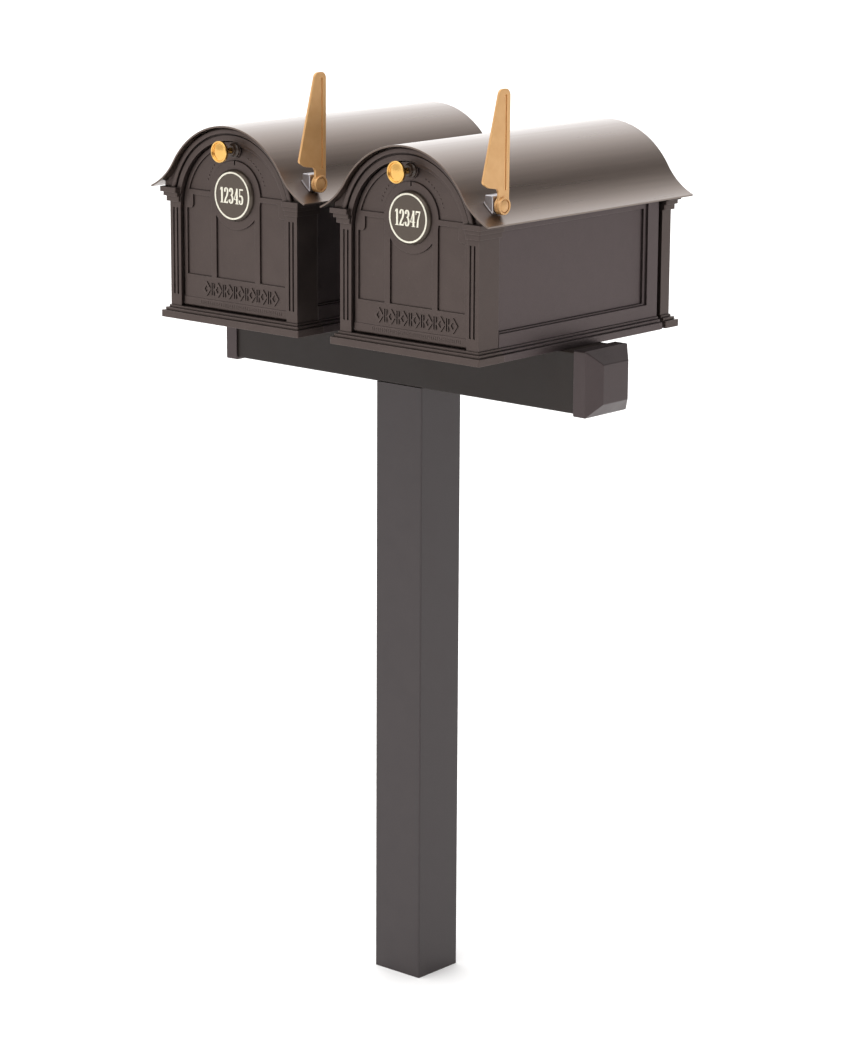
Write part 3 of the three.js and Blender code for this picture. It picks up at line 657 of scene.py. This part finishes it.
def flag_washer():
    low = BRACKET["face"] + 0.3
    profile = [(FLAG["bore"], low), (7.7, low), (8, low + 0.3), (8, low + 1.2), (7.7, low + 1.5),
               (FLAG["bore"], low + 1.5)]
    return solid([turned(profile, "right", (0, FLAG["y"], FLAG["z"]), 48)])


def flag_bracket():
    """A saddle: a curved flange that lies on the roof's flare, and a block with an upright face."""
    outer = FLARE_R - BRACKET["lift"]
    face, back, top = BRACKET["face"], BRACKET["back"], BRACKET["top"]
    flange = arc(FLARE_X, FLARE_Z, outer, 221, 233.5, 20)
    flange += arc(FLARE_X, FLARE_Z, outer - BRACKET["flange"], 233.5, 221, 20)
    block = arc(FLARE_X, FLARE_Z, outer - 1, 222, 233.5, 18)
    block += arc(face - 4, top - 4, 4, 0, 90, 8) + arc(back + 3, top - 3, 3, 90, 180, 8)
    half, y = BRACKET["half"], -FLAG["y"]
    shells = [facing(plate(flange, y - half, y + half, 0.6, 0.6), "front"),
              facing(plate(block, y - half + 0.6, y + half - 0.6, 1.4, 1.4), "front")]
    bore = plate(disc(0, 0, FLAG["bore"], 32), BRACKET["face"] - 14, BRACKET["face"] + 10, 0)
    return solid(shells, [facing(bore, "right", (0, FLAG["y"], FLAG["z"]))])


# ---------------------------------------------------------------- post and cross-arm

TUBE = {"wall": 3.2, "corner": 3.0}
CAP = {"slope": 20.0, "inset": 22.0, "beam_half": 51.2, "socket": 19.9}


def in_mm(corner):
    return [c / MM for c in corner]


def tube(node, way):
    """A square extrusion that fills its CAD node's box, along z or along x."""
    low, high = (in_mm(corner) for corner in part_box(node))
    if way == "up":
        across, up, along = (low[0], high[0]), (low[1], high[1]), (low[2], high[2])
    else:
        across, up, along = (low[1], high[1]), (low[2], high[2]), (low[0], high[0])
    inside = rectangle((across[0] + TUBE["wall"], across[1] - TUBE["wall"]),
                       (up[0] + TUBE["wall"], up[1] - TUBE["wall"]))
    outside = rounded_rectangle(across, up, TUBE["corner"], 8)
    return solid([facing(plate(outside, *along, 0.3, 0.3, holes=[inside]), way)])


def end_cap(side):
    """A cap with a straight skirt and a nose cut to a blunt pyramid."""
    low, high = (in_mm(corner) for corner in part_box(f"end_cap_{side}"))
    middle_y, middle_z = (low[1] + high[1]) / 2, (low[2] + high[2]) / 2
    half = (high[1] - low[1]) / 2
    length, slope = high[0] - low[0], CAP["slope"]

    def ring(size, corner):
        loop = rounded_rectangle(both_ways(size), both_ways(size), corner, 5)
        return [(u + middle_y, v + middle_z) for u, v in loop]

    def nose(part):
        """The half size at a part of the way from the skirt to the tip."""
        return half - 0.4 - CAP["inset"] * part

    levels = [(half - 0.8, 2.5, 0), (half - 0.2, 3, 0.3), (half, 3, 0.9)]
    levels += [(half, 3, length - slope - 0.8), (half - 0.12, 2.9, length - slope - 0.2),
               (half - 0.6, 2.6, length - slope + 0.4), (nose(0.06), 2.2, length - slope * 0.94)]
    levels += [(nose(0.96), 1.2, length - slope * 0.04), (nose(0.98) - 0.3, 1.1, length - 0.15),
               (nose(1) - 0.9, 0.9, length)]
    shell = loft([(ring(size, corner), w) for size, corner, w in levels])
    hollow = loft([(ring(CAP["beam_half"], 3), -5), (ring(CAP["beam_half"], 3), CAP["socket"])])
    root = (low[0] if side == "right" else high[0], 0, 0)
    return solid([facing(shell, side, root)], [facing(hollow, side, root)])


# ---------------------------------------------------------------- materials

def new_look(name):
    look = bpy.data.materials.new(name)
    look.use_nodes = True
    return look, look.node_tree.nodes, look.node_tree.links, look.node_tree.nodes["Principled BSDF"]


def noise(nodes, links, where, scale, detail=2.0, roughness=0.5):
    texture = nodes.new("ShaderNodeTexNoise")
    texture.inputs["Scale"].default_value = scale
    texture.inputs["Detail"].default_value = detail
    texture.inputs["Roughness"].default_value = roughness
    links.new(where, texture.inputs["Vector"])
    return texture.outputs["Fac"]


def spread(nodes, links, value, low, high, start=0.3, end=0.7):
    """A value from a texture, spread between two numbers."""
    ramp = nodes.new("ShaderNodeMapRange")
    ramp.inputs["From Min"].default_value = start
    ramp.inputs["From Max"].default_value = end
    ramp.inputs["To Min"].default_value = low
    ramp.inputs["To Max"].default_value = high
    links.new(value, ramp.inputs["Value"])
    return ramp.outputs["Result"]


def mixed(nodes, links, factor, first, second, blend="MIX"):
    mix = nodes.new("ShaderNodeMix")
    mix.data_type = "RGBA"
    mix.blend_type = blend
    for socket, value in ((mix.inputs[0], factor), (mix.inputs[6], first), (mix.inputs[7], second)):
        if isinstance(value, bpy.types.NodeSocket):
            links.new(value, socket)
        else:
            socket.default_value = (*value, 1.0) if isinstance(value, tuple) else value
    return mix.outputs[2]


def bumped(nodes, links, height, strength, distance, before=None):
    bump = nodes.new("ShaderNodeBump")
    bump.inputs["Strength"].default_value = strength
    bump.inputs["Distance"].default_value = distance
    links.new(height, bump.inputs["Height"])
    if before is not None:
        links.new(before, bump.inputs["Normal"])
    return bump.outputs["Normal"]


def highlight_edge_mask(nodes, links, radius):
    """Near 1 on outward edges, from how far a rounded normal turns from the surface's own; it marks the
    edges that get a painted highlight.
    """
    rounded = nodes.new("ShaderNodeBevel")
    rounded.samples = 4
    rounded.inputs["Radius"].default_value = radius
    plain = nodes.new("ShaderNodeNewGeometry")
    dot = nodes.new("ShaderNodeVectorMath")
    dot.operation = "DOT_PRODUCT"
    links.new(rounded.outputs["Normal"], dot.inputs[0])
    links.new(plain.outputs["Normal"], dot.inputs[1])
    return spread(nodes, links, dot.outputs["Value"], 1.0, 0.0, 0.75, 0.99)


COAT_SCALES = {"cloud": 22.0, "swell": 260.0, "grain": 1500.0, "nib": 210.0}  # features per metre
CORNER_REACH = 0.005
# width of the painted highlight along edges, in metres
EDGE_HIGHLIGHT_WIDTH = 0.0018


def times(nodes, links, first, second):
    product = nodes.new("ShaderNodeMath")
    product.operation = "MULTIPLY"
    for socket, value in zip(product.inputs, (first, second)):
        links.new(value, socket)
    return product.outputs[0]


def openness(nodes, reach):
    """Near 1 out in the open and lower in the piece's own corners and grooves."""
    sky = nodes.new("ShaderNodeAmbientOcclusion")
    sky.samples = 6
    sky.only_local = True
    sky.inputs["Distance"].default_value = reach
    return sky.outputs["AO"]


def few_of(nodes, links, cell, nibs, share):
    """Keeps the nibs of a few cells, chosen by the cells' own random values."""
    chosen = nodes.new("ShaderNodeSeparateColor")
    links.new(cell, chosen.inputs["Color"])
    return times(nodes, links, spread(nodes, links, chosen.outputs["Red"], 0.0, share, 0.90, 0.93), nibs)


def powder_coat(name, colour, roughness, grain, pits=0.0, metallic=0.0, specular=0.5):
    """Satin powder coat: fine grain, faint clouds, uneven gloss, painted shade in its corners and painted
    highlights on its edges.
    """
    look, nodes, links, shader = new_look(name)
    where = nodes.new("ShaderNodeTexCoord").outputs["Object"]
    cloud = noise(nodes, links, where, COAT_SCALES["cloud"], 3.0)
    grains = noise(nodes, links, where, COAT_SCALES["grain"], 2.0, 0.6)
    swell = noise(nodes, links, where, COAT_SCALES["swell"], 2.0)
    dark = tuple(c * 0.90 for c in colour)
    light = tuple(c * 1.10 for c in colour)
    base = mixed(nodes, links, spread(nodes, links, cloud, 0, 1), dark, light)
    fine = mixed(nodes, links, spread(nodes, links, grains, 0, 0.35), base, tuple(c * 1.5 for c in colour))
    highlight_and_speck_tone = tuple(min(1, c * 2.3 + 0.02) for c in colour)
    # Painted shade: where the piece's own corners and grooves hide a point, its colour is darkened towards a
    # third of itself.
    sky = openness(nodes, CORNER_REACH)
    hidden = spread(nodes, links, sky, 0.75, 0.0, 0.35, 0.80)
    corner_shaded = mixed(nodes, links, hidden, fine, tuple(c * 0.35 for c in colour))
    # Painted highlight: outward edges are lightened to a paler tone, patchily and not in corners; a few nibs
    # of the coat take the same tone as pale specks.
    edges = highlight_edge_mask(nodes, links, EDGE_HIGHLIGHT_WIDTH)
    patchy = times(nodes, links, edges, spread(nodes, links, swell, 0.35, 0.85))
    outward = times(nodes, links, patchy, spread(nodes, links, sky, 0.0, 1.0, 0.70, 0.95))
    final = mixed(nodes, links, outward, corner_shaded, highlight_and_speck_tone)
    links.new(spread(nodes, links, cloud, roughness - 0.04, roughness + 0.05), shader.inputs["Roughness"])
    normal = bumped(nodes, links, grains, grain, 0.00012)
    normal = bumped(nodes, links, swell, grain * 0.8, 0.0003, normal)
    if pits:
        spots = nodes.new("ShaderNodeTexVoronoi")
        spots.inputs["Scale"].default_value = COAT_SCALES["nib"]
        links.new(where, spots.inputs["Vector"])
        nibs = spread(nodes, links, spots.outputs["Distance"], 1.0, 0.0, 0.05, 0.2)
        normal = bumped(nodes, links, nibs, pits, 0.0002, normal)
        final = mixed(nodes, links, few_of(nodes, links, spots.outputs["Color"], nibs, pits), final, highlight_and_speck_tone)
    links.new(final, shader.inputs["Base Color"])
    links.new(normal, shader.inputs["Normal"])
    shader.inputs["Metallic"].default_value = metallic
    shader.inputs["Specular IOR Level"].default_value = specular
    return look


def rolled_sheet(name, colour, roughness, metallic):
    """Coated roof sheet: a smooth sheen with faint streaks along the roof."""
    look, nodes, links, shader = new_look(name)
    where = nodes.new("ShaderNodeTexCoord").outputs["Object"]
    stretch = nodes.new("ShaderNodeMapping")
    stretch.inputs["Scale"].default_value = (1.0, 0.03, 1.0)
    links.new(where, stretch.inputs["Vector"])
    streaks = noise(nodes, links, stretch.outputs["Vector"], 120.0, 3.0, 0.6)
    grains = noise(nodes, links, where, COAT_SCALES["grain"], 2.0, 0.6)
    dark = tuple(c * 0.93 for c in colour)
    light = tuple(c * 1.06 for c in colour)
    tone = mixed(nodes, links, spread(nodes, links, streaks, 0, 1), dark, light)
    links.new(tone, shader.inputs["Base Color"])
    links.new(spread(nodes, links, streaks, roughness - 0.03, roughness + 0.04), shader.inputs["Roughness"])
    normal = bumped(nodes, links, grains, 0.08, 0.0001)
    links.new(bumped(nodes, links, streaks, 0.05, 0.0004, normal), shader.inputs["Normal"])
    shader.inputs["Metallic"].default_value = metallic
    shader.inputs["Coat Weight"].default_value = 0.55
    shader.inputs["Coat Roughness"].default_value = 0.26
    return look


def metal(name, colour, dark, roughness, scratch, streak=(1.0, 1.0, 1.0), edge_highlight=(0.001, 1.25, 0.6),
          metallic=1.0):
    """Metal with cloudy tone, uneven gloss and fine scratches drawn along one axis. Its edge_highlight is
    the width of the painted highlight on its edges, how much brighter it is, and how much of that shows."""
    look, nodes, links, shader = new_look(name)
    where = nodes.new("ShaderNodeTexCoord").outputs["Object"]
    stretch = nodes.new("ShaderNodeMapping")
    stretch.inputs["Scale"].default_value = streak
    links.new(where, stretch.inputs["Vector"])
    cloud = noise(nodes, links, where, 70.0, 3.0)
    lines = noise(nodes, links, stretch.outputs["Vector"], 900.0, 3.0, 0.6)
    base = mixed(nodes, links, spread(nodes, links, cloud, 0, 1), dark, colour)
    width, brighter, share = edge_highlight
    # Painted highlight: the edges are lightened towards a brighter copy of the colour.
    edges = highlight_edge_mask(nodes, links, width)
    bright = tuple(min(1.0, c * brighter) for c in colour)
    links.new(mixed(nodes, links, spread(nodes, links, edges, 0, share, 0, 1), base, bright),
              shader.inputs["Base Color"])
    links.new(spread(nodes, links, lines, roughness - 0.05, roughness + 0.08), shader.inputs["Roughness"])
    normal = bumped(nodes, links, lines, scratch, 0.00006)
    links.new(bumped(nodes, links, cloud, 0.2, 0.0004, normal), shader.inputs["Normal"])
    shader.inputs["Metallic"].default_value = metallic
    return look


def enamel(name, colour, roughness):
    """Brushed-on enamel paint: slightly uneven."""
    look, nodes, links, shader = new_look(name)
    where = nodes.new("ShaderNodeTexCoord").outputs["Object"]
    cloud = noise(nodes, links, where, 160.0, 3.0)
    fine = noise(nodes, links, where, 1200.0, 2.0)
    base = mixed(nodes, links, spread(nodes, links, cloud, 0, 1), tuple(c * 0.86 for c in colour), colour)
    links.new(base, shader.inputs["Base Color"])
    links.new(spread(nodes, links, cloud, roughness - 0.05, roughness + 0.06), shader.inputs["Roughness"])
    links.new(bumped(nodes, links, fine, 0.25, 0.0001), shader.inputs["Normal"])
    return look


def moulded_plastic(name, colour):
    look, nodes, links, shader = new_look(name)
    where = nodes.new("ShaderNodeTexCoord").outputs["Object"]
    fine = noise(nodes, links, where, 1800.0, 2.0)
    cloud = noise(nodes, links, where, 90.0, 2.0)
    links.new(mixed(nodes, links, spread(nodes, links, cloud, 0, 1), colour, tuple(c * 1.4 for c in colour)),
              shader.inputs["Base Color"])
    links.new(spread(nodes, links, fine, 0.5, 0.62), shader.inputs["Roughness"])
    links.new(bumped(nodes, links, fine, 0.3, 0.0001), shader.inputs["Normal"])
    return look


def make_looks():
    return {
        "bronze_paint": powder_coat("cast_bronze_coat", (0.071, 0.0545, 0.0495), 0.40, 0.30, pits=0.35,
                                    metallic=0.88),
        # Painted shade: the side panels' coat is a copy of the cast bronze coat, its colour set for the
        # light the sides get.
        "side_shaded_paint": powder_coat("side_bronze_shaded_copy", (0.0755, 0.059, 0.0585), 0.40, 0.30, pits=0.6,
                                  metallic=0.88),
        # Painted shade: the post's coat is a darker copy of the same bronze paint, set for the light the
        # post gets.
        "post_paint": powder_coat("post_bronze_shaded_copy", (0.0455, 0.038, 0.0385), 0.46, 0.22, metallic=0.45),
        # Painted shade: the cross-arm's near-black, less glossy coat stands for the shade under the
        # mailboxes; it is the same bronze paint as the post.
        "beam_shaded_paint": powder_coat("beam_bronze_shaded_copy", (0.016, 0.011, 0.009), 0.48, 0.22, specular=0.28),
        # Painted shade: the end caps' coat is a darker copy of the same bronze paint, set for the light the
        # caps get.
        "cap_shaded_paint": powder_coat("cap_bronze_shaded_copy", (0.060, 0.047, 0.047), 0.40, 0.22, metallic=0.8),
        "roof_paint": rolled_sheet("roof_bronze_coat", (0.123, 0.089, 0.071), 0.30, 0.85),
        "dark_paint": powder_coat("dark_bronze_coat", (0.036, 0.022, 0.015), 0.24, 0.15),
        "plaque_paint": powder_coat("plaque_enamel", (0.074, 0.058, 0.046), 0.32, 0.15, metallic=0.6),
        "cream_paint": enamel("cream_enamel", (0.84, 0.81, 0.68), 0.42),
        "brass": metal("satin_brass", (0.63, 0.365, 0.155), (0.59, 0.33, 0.13), 0.34, 0.12, (1.0, 1.0, 0.12),
                       edge_highlight=(0.0018, 1.5, 0.9), metallic=0.4),
        "knob_brass": metal("turned_brass", (0.76, 0.47, 0.15), (0.70, 0.40, 0.115), 0.20, 0.12,
                            edge_highlight=(0.0014, 1.4, 0.9)),
        "bracket_steel": metal("polished_steel", (0.50, 0.49, 0.51), (0.42, 0.41, 0.43), 0.34, 0.10,
                               (0.1, 1, 1), edge_highlight=(0.001, 1.1, 0.15)),
        "plated_steel": metal("zinc_plate", (0.56, 0.57, 0.58), (0.42, 0.43, 0.44), 0.36, 0.3),
        "black_plastic": moulded_plastic("black_plastic", (0.012, 0.012, 0.013)),
    }


# ---------------------------------------------------------------- assembly

def mailbox_place(side):
    """Where a mailbox's own origin is: its middle, above the cross-arm."""
    low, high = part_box(f"{side}_front_frame")
    return Vector(((low.x + high.x) / 2, 0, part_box("crossarm_beam")[1].z))


def shared_meshes():
    right_panel = side_panel()
    return {
        "roof": (roof(), "roof_paint", "stand"),
        "front_frame": (front_frame(), "bronze_paint", "stand"),
        "rear_frame": (rear_frame(), "bronze_paint", "stand"),
        "rear_panel": (rear_panel(), "bronze_paint", "stand"),
        "side_panel_right": (right_panel, "side_shaded_paint", "stand"),
        "side_panel_left": (mirror_mesh(right_panel), "side_shaded_paint", "stand"),
        "door": (door(), "bronze_paint", "door"),
        "number_plaque": (plaque(), "plaque_paint", "door"),
        "knob_rose": (knob_rose(), "dark_paint", "door"),
        "knob": (knob(), "knob_brass", "door"),
        "flag": (flag(), "brass", "flag"),
        "flag_pivot_bolt": (flag_bolt(), "brass", "stand"),
        "flag_washer": (flag_washer(), "bracket_steel", "stand"),
        "flag_bracket": (flag_bracket(), "bracket_steel", "stand"),
    }


def mirror_mesh(mesh):
    other = mesh.copy()
    other.transform(Matrix.Scale(-1, 4, (1, 0, 0)))
    other.flip_normals()
    return other


def add_mailbox(side, meshes, looks, numbers):
    place = mailbox_place(side)
    bodies = {"stand": "stand", "door": f"{side}_door", "flag": f"{side}_flag"}
    for part, (mesh, look, body) in meshes.items():
        show(f"{side}_{part}_fine", mesh, looks[look], bodies[body], place, [f"{side}_{part}"])
    show(f"{side}_plaque_rim_band", plaque_ring(), looks["cream_paint"], bodies["door"], place)
    show(f"{side}_plaque_numerals", numerals(numbers), looks["cream_paint"], bodies["door"], place)


def add_stand(looks):
    here = Vector((0, 0, 0))
    show("post_fine", tube("post", "up"), looks["post_paint"], "stand", here, ["post"])
    show("crossarm_beam_fine", tube("crossarm_beam", "right"), looks["beam_shaded_paint"], "stand", here,
         ["crossarm_beam"])
    for side in SIDES:
        show(f"end_cap_{side}_fine", end_cap(side), looks["cap_shaded_paint"], "stand", here,
             [f"end_cap_{side}"])


def dress_cad_nodes(looks):
    """The hidden pieces keep their CAD shape, with broken edges and a proper finish."""
    slots = {row["node"]: row["material_slot"] for row in frame["record"]["subparts"]}
    for name, node in frame["nodes"].items():
        node.data.materials.clear()
        node.data.materials.append(looks[slots[name]])
        if not node.hide_render:
            broken = node.modifiers.new("broken_edges", "BEVEL")
            broken.width = 0.0003
            broken.segments = 2
            broken.angle_limit = math.radians(35)


# ---------------------------------------------------------------- setting

CAMERA = {"azimuth": 41.002, "elevation": 13.248, "roll": 0.290, "distance": 5.604, "aside": 0.0067,
          "height": 0.7993, "lens": 113.24}


def view_axes(azimuth, elevation, roll):
    """The camera's right, up and backward directions."""
    a, e, r = (math.radians(angle) for angle in (azimuth, elevation, roll))
    back = Vector((math.sin(a) * math.cos(e), -math.cos(a) * math.cos(e), math.sin(e)))
    level = Vector((math.cos(a), math.sin(a), 0))
    over = back.cross(level)
    return level * math.cos(r) + over * math.sin(r), over * math.cos(r) - level * math.sin(r), back, level


def add_camera():
    right, up, back, level = view_axes(CAMERA["azimuth"], CAMERA["elevation"], CAMERA["roll"])
    place = level * CAMERA["aside"] + Vector((0, 0, CAMERA["height"])) + back * CAMERA["distance"]
    lens = bpy.data.cameras.new("camera")
    lens.lens = CAMERA["lens"]
    lens.sensor_width = 36.0
    lens.clip_end = 200.0
    camera = bpy.data.objects.new("camera", lens)
    bpy.context.scene.collection.objects.link(camera)
    turn = Matrix((right, up, back)).transposed().to_4x4()
    camera.matrix_world = Matrix.Translation(place) @ turn
    bpy.context.scene.camera = camera


def add_floor():
    half = 60.0
    mesh = bpy.data.meshes.new("floor")
    corners = [(-half, -half, 0), (half, -half, 0), (half, half, 0), (-half, half, 0)]
    mesh.from_pydata(corners, [], [(0, 1, 2, 3)])
    floor = bpy.data.objects.new("floor", mesh)
    bpy.context.scene.collection.objects.link(floor)
    look, _, _, shader = new_look("floor_paper")
    shader.inputs["Base Color"].default_value = (0.93, 0.93, 0.93, 1)
    shader.inputs["Roughness"].default_value = 0.9
    shader.inputs["Specular IOR Level"].default_value = 0.1
    mesh.materials.append(look)


# Each lobe of the surround: its direction, the cosines where it starts and is full, and what it adds.
GLOWS = (((-0.72, 0.62, 0.32), 0.50, 0.88, 1.05), ((0.0, -0.25, 1.0), 0.52, 0.92, 1.4),
         ((0.75, 0.50, 0.40), 0.50, 0.95, -0.56), ((0.66, -0.74, 0.0), 0.75, 0.98, -0.55),
         ((1.0, 0.0, 0.2), 0.20, 0.90, -0.16))
SURROUND = 0.92


def add_surround():
    """A white studio: brighter overhead and behind to the left, dimmer to the right of the object."""
    world = bpy.data.worlds.new("studio")
    bpy.context.scene.world = world
    world.use_nodes = True
    nodes, links = world.node_tree.nodes, world.node_tree.links
    where = nodes.new("ShaderNodeTexCoord").outputs["Generated"]
    total = None
    for direction, start, full, adds in GLOWS:
        toward = nodes.new("ShaderNodeVectorMath")
        toward.operation = "DOT_PRODUCT"
        toward.inputs[1].default_value = Vector(direction).normalized()
        links.new(where, toward.inputs[0])
        glow = spread(nodes, links, toward.outputs["Value"], 0.0, adds, start, full)
        adder = nodes.new("ShaderNodeMath")
        adder.operation = "ADD"
        adder.inputs[1].default_value = SURROUND
        if total is not None:
            links.new(total, adder.inputs[1])
        links.new(glow, adder.inputs[0])
        total = adder.outputs[0]
    links.new(total, nodes["Background"].inputs["Strength"])
    nodes["Background"].inputs["Color"].default_value = (1.0, 0.99, 0.985, 1)


def main():
    add_camera()
    looks = make_looks()
    meshes = shared_meshes()
    add_mailbox("left", meshes, looks, (1, 2, 3, 4, 5))
    add_mailbox("right", meshes, looks, (1, 2, 3, 4, 7))
    add_stand(looks)
    dress_cad_nodes(looks)
    add_floor()
    add_surround()
    bpy.context.scene.view_settings.view_transform = "Standard"


main()
